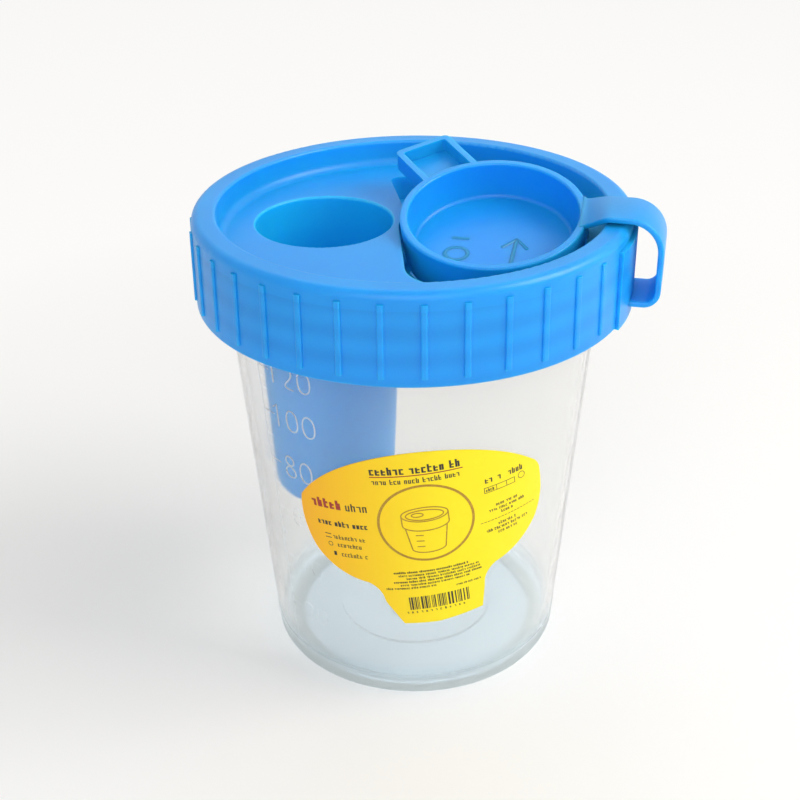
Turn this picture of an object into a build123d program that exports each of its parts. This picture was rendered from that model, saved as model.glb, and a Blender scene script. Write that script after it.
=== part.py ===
from build123d import *
import os
from math import asin, cos, degrees, radians, sin, sqrt, tan

# Urine specimen container, 120 ml: a clear conical cup, a blue screw lid with a
# sampling well for vacuum tubes, and a dished cap on a tether that covers a port.
# Millimetres, +Z up, origin on the table at the cup's axis. The lid's long axis is
# X: the well lies at -X, the port, its cap and the tether lie at +X.

# Cup
CUP_BASE_RADIUS = 24.7
CUP_DRAFT = 4.4             # degrees, the side opens upward
CUP_HEIGHT = 72.7
CUP_WALL = 1.1
CUP_FLOOR = 1.3
CUP_HEEL = 1.6              # round between side and foot
CUP_MOUTH_ROUND = 0.3
FOOT_HEIGHT = 0.8
FOOT_WIDTH = 4.2
GATE_RADIUS = 5.0           # disc round the moulding gate, level with the foot
PUNT_RADIUS = 13.5          # raised disc in the middle of the floor
PUNT_STEP = 0.5

# Lid
LID_HEIGHT = 14.4
LID_DRAFT = 0.8             # degrees, the skirt opens downward
LID_EDGE_ROUND = 1.3
LID_LIP_ROUND = 0.4
SKIRT_WALL = 1.7
THREAD_ROOM = 2.2           # between the cup's mouth and the skirt, for the thread
RIM_WIDTH = 3.8             # flat land round the recess
RIM_ROUND = 0.5
RECESS_DEPTH = 4.2
RECESS_WALL = 1.1
RECESS_DRAFT = 4.0          # degrees
RECESS_COVE = 1.4
RIM_TOP_WALL = 1.3
PLATE = 1.3                 # thickness of the sunk platform
SEAT_GAP = 0.1              # under the platform, over the cup's mouth

# Seal ring under the platform; it drops into the cup's mouth
SEAL_WALL = 0.9
SEAL_DEPTH = 3.3
SEAL_CLEARANCE = 0.4

# Grip ribs
RIB_COUNT = 36
RIB_WIDTH = 1.0
RIB_PROUD = 0.35
RIB_TOP_GAP = 1.8           # plain skirt above the ribs
RIB_BOTTOM_GAP = 1.5        # plain band below the ribs

# Pocket for the cap and its pull tab, and the port through the pocket's floor
POCKET_RADIUS = 23.4        # about the lid's axis, wide enough for the pull tab
POCKET_ROOM = 1.6           # round the cap's rim
POCKET_BRIDGE = 1.0         # platform left between the well and the pocket
POCKET_SIDE = 5.4           # length of its edge straight along the well
POCKET_SIDE_BACK = 6.0      # part of that behind the X axis
POCKET_BACK_SLOPE = 22.0    # degrees, its edge behind the well leans to the well's side
POCKET_FRONT_SLOPE = 16.0   # degrees, its edge before the well leans away from it
POCKET_SIDE_ROUND = 11.0    # where those edges meet
POCKET_BACK_CORNER = 1.8
POCKET_FRONT_CORNER = 6.5
POCKET_CAP_ROUND = 3.0      # where the two discs of its plan meet
POCKET_DEPTH = 4.1          # below the platform
POCKET_FLOOR = 1.3
POCKET_WALL = 0.8
POCKET_SET_IN = 0.25        # its wall's outside, inward from the seal ring's
PORT_CLEARANCE = 0.3        # round the closed cap
PORT_WALL = 1.2
PORT_DEPTH = 7.2            # platform to the ledge that stops the closed cap
PORT_LEDGE = 1.4            # width of that ledge
PORT_LEDGE_THICK = 1.2
PORT_SET_IN = 0.05          # its collar's outside, inward from the pocket's wall

# Sampling well for a vacuum tube
WELL_CLEARANCE = 1.3        # between its outside and the seal ring
WELL_BORE = 10.9            # radius of the guide stretch at the mouth
WELL_GUIDE = 12.0           # length of the guide stretch
WELL_END_BORE = 9.3         # radius at the well's floor
WELL_WALL = 1.1
WELL_FLOOR = 1.4
WELL_DEPTH = 46.7           # platform to the well's floor
WELL_ENTRY_ROUND = 0.4
WELL_HEEL = 2.5
HUB_RADIUS = 2.8
HUB_TOP_RADIUS = 2.2
HUB_HEIGHT = 6.0
HUB_BELOW = 3.0
HUB_BELOW_RADIUS = 2.0

# Needle and its rubber sleeve
NEEDLE_RADIUS = 0.45
NEEDLE_BORE = 0.28
NEEDLE_ABOVE = 15.5         # out of the hub, into the well
NEEDLE_BELOW = 2.5          # out of the hub, into the cup
NEEDLE_BEVEL = 20.0         # degrees
NEEDLE_CLEARANCE = 0.03
SLEEVE_RADIUS = 1.7
SLEEVE_BORE = 0.7
SLEEVE_CAP = 1.2            # solid rubber over the needle's point
SLEEVE_FOOT = 2.0           # height of the thicker foot
SLEEVE_FOOT_RADIUS = 2.1
SLEEVE_SLACK = 0.6

# Dished cap
CAP_RADIUS = 14.5           # outside, at the rim
CAP_TAPER = 0.5             # the base's radius is smaller by this
CAP_WALL = 1.3
CAP_DEPTH = 6.0
CAP_FLOOR = 1.3
CAP_SUNK = 0.7              # centre of its rim, below the lid's rim
CAP_TILT = 14.4             # degrees about the tether, front edge down
CAP_HEEL = 0.7
CAP_RIM_ROUND = 0.35

# Pull tab, a square tray on the cap
TAB_DIRECTION = 130.0       # degrees round the cap from the tether
TAB_WIDTH = 9.8
TAB_LENGTH = 8.8            # out from the cap's rim
TAB_HEIGHT = 3.0
TAB_WALL = 1.0
TAB_FLOOR = 0.8
TAB_CORNER = 0.5

# Tether
TETHER_WIDTH = 9.4
TETHER_THICK = 0.9
TETHER_ROOT_RISE = 2.1      # its middle, above the lid's lower edge
TETHER_REACH = 3.8          # middle of its leg, out from the root pad
TETHER_LOW_BEND = 2.1
TETHER_HIGH_BEND = 5.0
TETHER_OVER_RIM = 0.5       # gap between its underside and the lid's rim
TETHER_CLEAR_OF_RIM = 0.9   # inward from the rim before it drops to the cap
HINGE_SETBACK = 0.2         # of the bending line, inward from the end of the bend
HINGE_GAP = 0.5             # between the two halves at the bending line
TETHER_DROP = 0.5           # of its middle, below the cap's rim
PAD_ANGLE = 32.0            # degrees of skirt under the root pad
PAD_PROUD = 0.5
PAD_TOP_GAP = 2.0
MOULD_GAP = 0.03            # between pieces that are joined in the mould

# Label, sizes as cut from the flat sheet
LABEL_DIRECTION = -74.5     # degrees round the cup
LABEL_Z = 37.0              # height of the printed ring's centre
LABEL_TURN = 7.0            # degrees, stuck on askew
LABEL_THICK = 0.15
LABEL_GLUE = 0.03
LABEL_TOP = 13.2
LABEL_UPPER_SIDE = (20.0, 3.8)
LABEL_SIDE = (20.4, -0.6)
LABEL_LOWER_SIDE = (18.7, -6.2)
LABEL_HIP = (15.0, -9.6)
LABEL_WAIST = (10.4, -11.5)
LABEL_NECK = (8.8, -12.9)
LABEL_TAIL = (8.1, -15.2)
LABEL_FOOT = (7.3, -19.8)
LABEL_BOTTOM = -20.5

# Derived places
PLATE_UNDER = CUP_HEIGHT + SEAT_GAP
PLATFORM = PLATE_UNDER + PLATE
LID_TOP = PLATFORM + RECESS_DEPTH
LID_BOTTOM = LID_TOP - LID_HEIGHT
POCKET_Z = PLATFORM - POCKET_DEPTH
LEDGE_Z = PLATFORM - PORT_DEPTH
LEDGE_UNDER = LEDGE_Z - PORT_LEDGE_THICK
CAP_BASE_RADIUS = CAP_RADIUS - CAP_TAPER
WELL_Z = PLATFORM - WELL_DEPTH
WELL_UNDER = WELL_Z - WELL_FLOOR
HUB_TOP = WELL_Z + HUB_HEIGHT
HUB_UNDER = WELL_UNDER - HUB_BELOW
NEEDLE_TOP = HUB_TOP + NEEDLE_ABOVE
NEEDLE_FOOT = HUB_UNDER - NEEDLE_BELOW
PORT_BORE = CAP_BASE_RADIUS + PORT_CLEARANCE
CAP_RIM_Z = LID_TOP - CAP_SUNK
HINGE_Z = LID_TOP + TETHER_OVER_RIM + TETHER_THICK / 2


def cup_outside(z):
    """Outside radius of the cup at a height."""
    return CUP_BASE_RADIUS + z * tan(radians(CUP_DRAFT))


def cup_inside(z):
    """Inside radius of the cup at a height."""
    return cup_outside(z) - CUP_WALL / cos(radians(CUP_DRAFT))


LID_RADIUS = cup_outside(CUP_HEIGHT) + THREAD_ROOM + SKIRT_WALL
RECESS_RADIUS = LID_RADIUS - RIM_WIDTH


def skirt_outside(z):
    """Outside radius of the lid's skirt at a height."""
    return LID_RADIUS + (LID_TOP - z) * tan(radians(LID_DRAFT))


SEAL_RADIUS = cup_inside(CUP_HEIGHT - SEAL_DEPTH) - SEAL_CLEARANCE
SEAL_INSIDE = SEAL_RADIUS - SEAL_WALL
POCKET_LIMIT = SEAL_RADIUS - POCKET_SET_IN - POCKET_WALL
WELL_OFFSET = SEAL_INSIDE - WELL_CLEARANCE - WELL_WALL - WELL_BORE
POCKET_LEFT = WELL_BORE + POCKET_BRIDGE - WELL_OFFSET
CAP_X = POCKET_LIMIT + POCKET_WALL - PORT_SET_IN - PORT_WALL - PORT_BORE
PAD_RADIUS = skirt_outside(LID_BOTTOM) + PAD_PROUD
LEG_X = PAD_RADIUS + TETHER_REACH
BEND_TOP_X = LEG_X - TETHER_HIGH_BEND
HINGE_X = BEND_TOP_X - HINGE_SETBACK


def turned(points, rounds=None):
    """Solid turned about Z from (radius, z) points; rounds maps a point's number to a radius."""
    section = make_face(Polyline(*points, close=True))
    for number, radius in (rounds or {}).items():
        near = Vector(points[number][0], points[number][1], 0)
        corner = section.vertices().sort_by_distance(near)[0]
        section = fillet(corner, radius)
    return revolve(Plane.XZ * section, Axis.Z)


def cup():
    floor_top = FOOT_HEIGHT + CUP_FLOOR
    foot_inside = CUP_BASE_RADIUS - FOOT_WIDTH
    points = [
        (0, 0),
        (GATE_RADIUS, 0),
        (GATE_RADIUS, FOOT_HEIGHT),
        (foot_inside, FOOT_HEIGHT),
        (foot_inside, 0),
        (cup_outside(0), 0),
        (cup_outside(CUP_HEIGHT), CUP_HEIGHT),
        (cup_inside(CUP_HEIGHT), CUP_HEIGHT),
        (cup_inside(floor_top), floor_top),
        (PUNT_RADIUS, floor_top),
        (PUNT_RADIUS, floor_top + PUNT_STEP),
        (0, floor_top + PUNT_STEP),
    ]
    rounds = {5: CUP_HEEL, 6: CUP_MOUTH_ROUND, 7: CUP_MOUTH_ROUND, 8: CUP_HEEL / 2}
    return turned(points, rounds)


def lid_shell():
    """Skirt, rim, recess wall, platform and seal ring as one turned section."""
    recess_foot = RECESS_RADIUS - RECESS_DEPTH * sin(radians(RECESS_DRAFT))
    channel_top = LID_TOP - RIM_TOP_WALL
    points = [
        (skirt_outside(LID_BOTTOM), LID_BOTTOM),
        (LID_RADIUS, LID_TOP),
        (RECESS_RADIUS, LID_TOP),
        (recess_foot, PLATFORM),
        (0, PLATFORM),
        (0, PLATE_UNDER),
        (SEAL_INSIDE, PLATE_UNDER),
        (SEAL_INSIDE, PLATE_UNDER - SEAL_DEPTH),
        (SEAL_RADIUS, PLATE_UNDER - SEAL_DEPTH),
        (SEAL_RADIUS, PLATE_UNDER),
        (RECESS_RADIUS + RECESS_WALL, PLATE_UNDER),
        (RECESS_RADIUS + RECESS_WALL, channel_top),
        (skirt_outside(channel_top) - SKIRT_WALL, channel_top),
        (skirt_outside(LID_BOTTOM) - SKIRT_WALL, LID_BOTTOM),
    ]
    rounds = {0: LID_LIP_ROUND, 1: LID_EDGE_ROUND, 2: RIM_ROUND, 3: RECESS_COVE}
    return turned(points, rounds)


def pocket_side(reach):
    """Plan of everything on the pocket's side of its bent edge beside the well."""
    front_y = POCKET_SIDE_BACK - POCKET_SIDE
    back_x = POCKET_LEFT - (reach - POCKET_SIDE_BACK) * tan(radians(POCKET_BACK_SLOPE))
    front_x = POCKET_LEFT + (reach + front_y) * tan(radians(POCKET_FRONT_SLOPE))
    side = make_face(
        Polyline(
            (back_x, reach),
            (POCKET_LEFT, POCKET_SIDE_BACK),
            (POCKET_LEFT, front_y),
            (front_x, -reach),
            (reach, -reach),
            (reach, reach),
            close=True,
        )
    )
    bends = side.vertices().filter_by(lambda corner: abs(corner.X - POCKET_LEFT) < 0.001)
    return fillet(bends, POCKET_SIDE_ROUND)


def pocket_outline(margin=0.0):
    """Plan of the pocket: two discs, cut off beside the well and at the seal ring."""
    round_cap = Pos(CAP_X, 0) * Circle(CAP_RADIUS + POCKET_ROOM + margin)
    outline = Circle(POCKET_RADIUS + margin) + (round_cap & Circle(POCKET_LIMIT + margin))
    outline = outline & Pos(-margin, 0) * pocket_side(LID_RADIUS)
    outline = fillet(outline.vertices().sort_by(Axis.X)[0], POCKET_BACK_CORNER + margin)
    outline = fillet(outline.vertices().sort_by(Axis.Y)[0], POCKET_FRONT_CORNER + margin)
    meetings = outline.vertices().sort_by(Axis.X)[-4:]
    return fillet(meetings, POCKET_CAP_ROUND)


def port_cylinder(radius, bottom, top):
    """Cylinder about the port's axis between two heights."""
    return Pos(CAP_X, 0, bottom) * Cylinder(
        radius, top - bottom, align=(Align.CENTER, Align.CENTER, Align.MIN)
    )


def pocket_tub():
    under = POCKET_Z - POCKET_FLOOR
    height = PLATFORM - PLATE / 2 - under
    tub = Pos(0, 0, under) * extrude(pocket_outline(POCKET_WALL), amount=height)
    return tub + port_cylinder(PORT_BORE + PORT_WALL, LEDGE_UNDER, POCKET_Z)


def pocket_hollow():
    tub = Pos(0, 0, POCKET_Z) * extrude(pocket_outline(), amount=LID_TOP - POCKET_Z)
    bore = port_cylinder(PORT_BORE, LEDGE_Z, LID_TOP)
    mouth = port_cylinder(PORT_BORE - PORT_LEDGE, LEDGE_UNDER - PORT_LEDGE_THICK, LID_TOP)
    return [tub, bore, mouth]


def well_body():
    guide_end = PLATFORM - WELL_GUIDE
    points = [
        (0, HUB_UNDER),
        (HUB_BELOW_RADIUS, HUB_UNDER),
        (HUB_BELOW_RADIUS, WELL_UNDER),
        (WELL_END_BORE + WELL_WALL, WELL_UNDER),
        (WELL_BORE + WELL_WALL, guide_end),
        (WELL_BORE + WELL_WALL, PLATE_UNDER + PLATE / 2),
        (0, PLATE_UNDER + PLATE / 2),
    ]
    return Pos(-WELL_OFFSET, 0) * turned(points, {3: WELL_HEEL})


def well_hollow():
    guide_end = PLATFORM - WELL_GUIDE
    needle_hole = NEEDLE_RADIUS + NEEDLE_CLEARANCE
    points = [
        (needle_hole, HUB_UNDER - HUB_BELOW),
        (needle_hole, HUB_TOP),
        (HUB_TOP_RADIUS, HUB_TOP),
        (HUB_RADIUS, WELL_Z),
        (WELL_END_BORE, WELL_Z),
        (WELL_BORE, guide_end),
        (WELL_BORE, LID_TOP),
        (0, LID_TOP),
        (0, HUB_UNDER - HUB_BELOW),
    ]
    return Pos(-WELL_OFFSET, 0) * turned(points, {4: WELL_HEEL - WELL_WALL})


def grip_ribs():
    """Upright bars on the skirt, left out where the root pad is."""
    low = LID_BOTTOM + RIB_BOTTOM_GAP
    height = LID_HEIGHT - RIB_BOTTOM_GAP - RIB_TOP_GAP
    depth = RIB_PROUD + SKIRT_WALL / 2
    bar = Box(depth, RIB_WIDTH, height, align=(Align.MAX, Align.CENTER, Align.MIN))
    bar = fillet(bar.edges().filter_by(Axis.Z).group_by(Axis.X)[-1], RIB_PROUD * 0.8)
    bar = Rot(0, -LID_DRAFT, 0) * bar
    pitch = 360 / RIB_COUNT
    reach = skirt_outside(low) + RIB_PROUD
    ribs = []
    for number in range(RIB_COUNT):
        angle = (number + 0.5) * pitch
        off_pad = min(angle, 360 - angle)
        if off_pad > PAD_ANGLE / 2 + pitch / 4:
            ribs.append(Rot(0, 0, angle) * Pos(reach, 0, low) * bar)
    return ribs


def root_pad():
    height = LID_HEIGHT - PAD_TOP_GAP
    inside = LID_RADIUS - SKIRT_WALL / 2
    ring = Pos(inside, 0) * Rectangle(
        PAD_RADIUS - inside, height, align=(Align.MIN, Align.MIN)
    )
    pad = revolve(Plane.XZ * ring, Axis.Z, revolution_arc=PAD_ANGLE)
    return Rot(0, 0, -PAD_ANGLE / 2) * Pos(0, 0, LID_BOTTOM) * pad


def lid():
    body = lid_shell() + pocket_tub() + well_body()
    body = body - pocket_hollow() - well_hollow()
    mouth = body.edges().filter_by(GeomType.CIRCLE).filter_by(
        lambda edge: abs(edge.radius - WELL_BORE) + abs(edge.arc_center.Z - PLATFORM) < 0.01
    )
    body = fillet(mouth, WELL_ENTRY_ROUND)
    return body + grip_ribs() + root_pad()


def needle():
    """Steel cannula with a bevelled upper point."""
    length = NEEDLE_TOP - NEEDLE_FOOT
    low = (Align.CENTER, Align.CENTER, Align.MIN)
    tube = Cylinder(NEEDLE_RADIUS, length, align=low) - Cylinder(NEEDLE_BORE, length, align=low)
    cutter = Pos(0, 0, length) * Rot(0, 90 - NEEDLE_BEVEL, 0) * Box(
        20, 4, 4, align=(Align.CENTER, Align.CENTER, Align.MIN)
    )
    shift = NEEDLE_RADIUS / tan(radians(NEEDLE_BEVEL))
    tube = tube - Pos(0, 0, -shift) * cutter
    return Pos(-WELL_OFFSET, 0, NEEDLE_FOOT) * tube


def needle_sleeve():
    """Rubber sheath that stands on the hub and closes over the point."""
    bore_top = NEEDLE_TOP + SLEEVE_SLACK
    points = [
        (SLEEVE_BORE, HUB_TOP),
        (SLEEVE_FOOT_RADIUS, HUB_TOP),
        (SLEEVE_FOOT_RADIUS, HUB_TOP + SLEEVE_FOOT),
        (SLEEVE_RADIUS, HUB_TOP + SLEEVE_FOOT),
        (SLEEVE_RADIUS, bore_top + SLEEVE_CAP),
        (0, bore_top + SLEEVE_CAP),
        (0, bore_top),
        (SLEEVE_BORE, bore_top),
    ]
    return Pos(-WELL_OFFSET, 0) * turned(points, {4: SLEEVE_RADIUS * 0.6})


def cap_place():
    return Pos(CAP_X, 0, CAP_RIM_Z) * Rot(CAP_TILT, 0, 0)


def cap_outside(margin=0.0):
    """The cap's dish without its hollow, rim up at z 0."""
    height = CAP_DEPTH + CAP_FLOOR
    points = [
        (0, -height),
        (CAP_BASE_RADIUS + margin, -height),
        (CAP_RADIUS + margin, 0),
        (0, 0),
    ]
    return turned(points, {1: CAP_HEEL, 2: CAP_RIM_ROUND})


def cap_hollow():
    points = [
        (0, -CAP_DEPTH),
        (CAP_BASE_RADIUS - CAP_WALL, -CAP_DEPTH),
        (CAP_RADIUS - CAP_WALL, 0),
        (0, 0),
    ]
    return turned(points, {1: CAP_HEEL})


def pull_tab():
    """Square tray on the cap's rim, open upward."""
    root = CAP_BASE_RADIUS - CAP_WALL / 2
    end = CAP_RADIUS + TAB_LENGTH
    low = (Align.MAX, Align.CENTER, Align.MAX)
    block = Pos(end, 0, 0) * Box(end - root, TAB_WIDTH, TAB_HEIGHT, align=low)
    block = fillet(block.edges().filter_by(Axis.Z).group_by(Axis.X)[-1], TAB_CORNER * 2)
    tray_depth = TAB_HEIGHT - TAB_FLOOR
    tray = Pos(end - TAB_WALL, 0, 0) * Box(
        end - root, TAB_WIDTH - 2 * TAB_WALL, tray_depth, align=low
    )
    tray = fillet(tray.edges().filter_by(Axis.Z).group_by(Axis.X)[-1], TAB_CORNER)
    turn = Rot(0, 0, TAB_DIRECTION)
    return turn * block, turn * tray


def cap():
    dish = cap_outside() - cap_hollow()
    rim = dish.edges().filter_by(GeomType.CIRCLE).filter_by(
        lambda edge: abs(edge.radius - CAP_RADIUS + CAP_WALL) + abs(edge.arc_center.Z) < 0.01
    )
    dish = fillet(rim, CAP_RIM_ROUND)
    block, tray = pull_tab()
    within_wall = Cylinder(CAP_RADIUS - CAP_WALL / 2, 3 * TAB_HEIGHT)
    tab = block - (tray - cap_outside()) - within_wall
    return cap_place() * (dish + tab)


def tether_leg():
    half = TETHER_THICK / 2
    root_z = LID_BOTTOM + TETHER_ROOT_RISE
    start = LID_RADIUS - SKIRT_WALL / 2
    low = TETHER_LOW_BEND
    high = TETHER_HIGH_BEND
    # Cut the bend back from the bending line, measured along the middle of the strap
    cut = asin((HINGE_GAP + half - HINGE_SETBACK) / high)
    top = (BEND_TOP_X, HINGE_Z - high)
    centre_low = (LEG_X - low, root_z + low)

    def on_low(radius, angle):
        return (
            centre_low[0] + radius * sin(radians(angle)),
            centre_low[1] - radius * cos(radians(angle)),
        )

    def on_high(radius, angle):
        return (top[0] + radius * sin(radians(angle)), top[1] + radius * cos(radians(angle)))

    end = degrees(cut)
    path_out = [
        Line((start, root_z - half), on_low(low + half, 0)),
        ThreePointArc(on_low(low + half, 0), on_low(low + half, 45), on_low(low + half, 90)),
        Line(on_low(low + half, 90), on_high(high + half, 90)),
        ThreePointArc(on_high(high + half, 90), on_high(high + half, 50), on_high(high + half, end)),
        Line(on_high(high + half, end), on_high(high - half, end)),
        ThreePointArc(on_high(high - half, end), on_high(high - half, 50), on_high(high - half, 90)),
        Line(on_high(high - half, 90), on_low(low - half, 90)),
        ThreePointArc(on_low(low - half, 90), on_low(low - half, 45), on_low(low - half, 0)),
        Line(on_low(low - half, 0), (start, root_z + half)),
        Line((start, root_z + half), (start, root_z - half)),
    ]
    strip = extrude(Plane.XZ * make_face(path_out), amount=TETHER_WIDTH / 2, both=True)
    keep_out = Pos(0, 0, LID_BOTTOM) * Cylinder(
        PAD_RADIUS + MOULD_GAP, LID_HEIGHT / 2, align=(Align.CENTER, Align.CENTER, Align.MIN)
    )
    return strip - keep_out


def tether_arm():
    """Upper end of the tether: level over the lid's rim, then twisting down to the cap."""
    half = TETHER_WIDTH / 2
    level_end = RECESS_RADIUS - TETHER_CLEAR_OF_RIM
    near_x = CAP_X + sqrt(CAP_RADIUS**2 - half**2) - CAP_WALL / 2
    section = Rectangle(TETHER_WIDTH, TETHER_THICK)
    hinge = Plane(origin=(HINGE_X, 0, HINGE_Z), x_dir=(0, 1, 0), z_dir=(-1, 0, 0))
    bend = Plane(origin=(level_end, 0, HINGE_Z), x_dir=(0, 1, 0), z_dir=(-1, 0, 0))
    near = Plane(
        origin=(near_x, 0, CAP_RIM_Z - TETHER_DROP),
        x_dir=(0, cos(radians(CAP_TILT)), sin(radians(CAP_TILT))),
        z_dir=(-1, 0, 0),
    )
    level = extrude(hinge * section, amount=HINGE_X - level_end)
    twist = loft([bend * section, near * section])
    knuckle = Pos(HINGE_X, 0, HINGE_Z) * Rot(90, 0, 0) * Cylinder(TETHER_THICK / 2, TETHER_WIDTH)
    return level + twist + knuckle - cap_place() * cap_outside(MOULD_GAP)


def label():
    """Thin sheet bent round the cup's side."""
    radius = cup_outside(LABEL_Z)

    def flat(point):
        return (radius * sin(point[0] / radius), point[1])

    def mirrored(point):
        return (-point[0], point[1])

    def run(side):
        return [
            ThreePointArc(
                flat(side(LABEL_UPPER_SIDE)), flat(side(LABEL_SIDE)), flat(side(LABEL_LOWER_SIDE))
            ),
            ThreePointArc(
                flat(side(LABEL_LOWER_SIDE)), flat(side(LABEL_HIP)), flat(side(LABEL_WAIST))
            ),
            ThreePointArc(
                flat(side(LABEL_WAIST)), flat(side(LABEL_NECK)), flat(side(LABEL_TAIL))
            ),
            Line(flat(side(LABEL_TAIL)), flat(side(LABEL_FOOT))),
            Line(flat(side(LABEL_FOOT)), (0, LABEL_BOTTOM)),
        ]

    shoulder = flat(LABEL_UPPER_SIDE)
    top = ThreePointArc(shoulder, (0, LABEL_TOP), mirrored(shoulder))
    outline = make_face([top] + run(lambda point: point) + run(mirrored))
    face = Plane(
        origin=(0, 0, LABEL_Z),
        x_dir=(-sin(radians(LABEL_DIRECTION)), cos(radians(LABEL_DIRECTION)), 0),
        z_dir=(cos(radians(LABEL_DIRECTION)), sin(radians(LABEL_DIRECTION)), 0),
    )
    block = extrude(face * Rot(0, 0, LABEL_TURN) * outline, amount=radius * 1.5)
    low, high = 2 * CUP_HEEL, LID_BOTTOM - CUP_WALL
    inner = LABEL_GLUE
    outer = LABEL_GLUE + LABEL_THICK
    sheet = turned(
        [
            (cup_outside(low) + inner, low),
            (cup_outside(low) + outer, low),
            (cup_outside(high) + outer, high),
            (cup_outside(high) + inner, high),
        ]
    )
    return block & sheet


os.makedirs("parts", exist_ok=True)
PARTS = {
    "cup": cup(),
    "label": label(),
    "lid": lid(),
    "needle": needle(),
    "needle_sleeve": needle_sleeve(),
    "tether_leg": tether_leg(),
    "tether_arm": tether_arm(),
    "cap": cap(),
}
for name, solid in PARTS.items():
    export_step(solid, f"parts/{name}.step")
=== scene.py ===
"""Specimen container: camera, light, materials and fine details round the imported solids."""
import math
import random
import bpy
from mathutils import Matrix, Vector


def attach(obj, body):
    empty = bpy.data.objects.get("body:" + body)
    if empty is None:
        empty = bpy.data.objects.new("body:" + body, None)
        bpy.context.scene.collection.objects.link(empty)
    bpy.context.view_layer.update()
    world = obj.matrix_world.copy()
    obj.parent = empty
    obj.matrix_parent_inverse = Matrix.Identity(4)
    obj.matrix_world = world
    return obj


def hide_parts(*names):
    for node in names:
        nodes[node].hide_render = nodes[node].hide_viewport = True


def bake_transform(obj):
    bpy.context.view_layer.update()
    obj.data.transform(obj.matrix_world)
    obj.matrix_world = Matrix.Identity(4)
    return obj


MM = 0.001                  # a millimetre in metres
FULL_TURN = 2 * math.pi

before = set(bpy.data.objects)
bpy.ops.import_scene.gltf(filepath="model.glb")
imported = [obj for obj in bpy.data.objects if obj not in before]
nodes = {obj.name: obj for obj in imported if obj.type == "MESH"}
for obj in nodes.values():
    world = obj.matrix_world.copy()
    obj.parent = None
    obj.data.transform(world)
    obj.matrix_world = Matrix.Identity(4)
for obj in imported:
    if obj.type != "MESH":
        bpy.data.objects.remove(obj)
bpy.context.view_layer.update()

# Sizes shared with the solids, in millimetres
CUP_BASE_RADIUS = 24.7
CUP_SLOPE = math.tan(math.radians(4.4))
LID_TOP = 78.3
LID_RADIUS = 34.19
LID_SLOPE = math.tan(math.radians(0.8))
SKIRT_WALL = 1.7
THREAD_PITCH = 4.0
WELL_OFFSET = 14.34
CAP_X, CAP_Z, CAP_TILT = 12.74, 77.6, math.radians(14.4)
CAP_DEPTH = 6.0
HINGE_Z = 79.25
LABEL_DIRECTION = math.radians(-74.5)
LABEL_Z = 37.0
LABEL_TURN = math.radians(7.0)
LABEL_BACK = 0.03           # height of the label's back over the cup
LABEL_FACE = 0.18           # height of the label's face over the cup
INK = 0.02                  # height of the print over the label's face


def cup_radius(z):
    return CUP_BASE_RADIUS + z * CUP_SLOPE


# ---------------------------------------------------------------- meshes

class Builder:
    """Collects points and faces of one mesh, in millimetres."""

    def __init__(self):
        self.points, self.faces = [], []

    def add(self, points, faces):
        base = len(self.points)
        self.points.extend(points)
        self.faces.extend([[base + i for i in face] for face in faces])

    def rings(self, rings, closed=True, caps=False):
        """Skin over a row of point rings."""
        size = len(rings[0])
        faces = []
        steps = size if closed else size - 1
        for row in range(len(rings) - 1):
            for i in range(steps):
                j = (i + 1) % size
                a, b = row * size, (row + 1) * size
                faces.append([a + i, a + j, b + j, b + i])
        if caps:
            faces.append(list(range(size))[::-1])
            faces.append([(len(rings) - 1) * size + i for i in range(size)])
        self.add([p for ring in rings for p in ring], faces)

    def piece(self, name, material, body, slot, smooth_angle=35.0):
        """Object in metres, its faces turned outward, on its body; the slot argument is not used."""
        mesh = bpy.data.meshes.new(name)
        mesh.from_pydata([tuple(c * MM for c in p) for p in self.points], [], self.faces)
        mesh.validate()
        mesh.calc_loop_triangles()
        corners = ([mesh.vertices[i].co for i in tri.vertices] for tri in mesh.loop_triangles)
        signed_volume = sum(p.dot(q.cross(r)) for p, q, r in corners)
        if signed_volume < 0:
            mesh.flip_normals()
        mesh.materials.append(material)
        mesh.shade_smooth()
        mesh.set_sharp_from_angle(angle=math.radians(smooth_angle))
        made = bpy.data.objects.new(name, mesh)
        bpy.context.scene.collection.objects.link(made)
        if body:
            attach(made, body)
        return made


def arc3(p, q, r, steps):
    """Points on the circle through p, q and r, from p to r."""
    ax, ay, bx, by, cx, cy = *p, *q, *r
    d = 2 * (ax * (by - cy) + bx * (cy - ay) + cx * (ay - by))
    a2, b2, c2 = ax * ax + ay * ay, bx * bx + by * by, cx * cx + cy * cy
    ox = (a2 * (by - cy) + b2 * (cy - ay) + c2 * (ay - by)) / d
    oy = (a2 * (cx - bx) + b2 * (ax - cx) + c2 * (bx - ax)) / d
    radius = math.hypot(ax - ox, ay - oy)
    start, mid, end = (math.atan2(y - oy, x - ox) for x, y in (p, q, r))
    turn = (end - start) % FULL_TURN
    if (mid - start) % FULL_TURN > turn:
        turn -= FULL_TURN
    angles = [start + turn * k / steps for k in range(steps + 1)]
    return [(ox + radius * math.cos(a), oy + radius * math.sin(a)) for a in angles]


def neighbours(points, k):
    """Points before and after place k, or the end itself at an end."""
    return points[max(k - 1, 0)], points[min(k + 1, len(points) - 1)]


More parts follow.
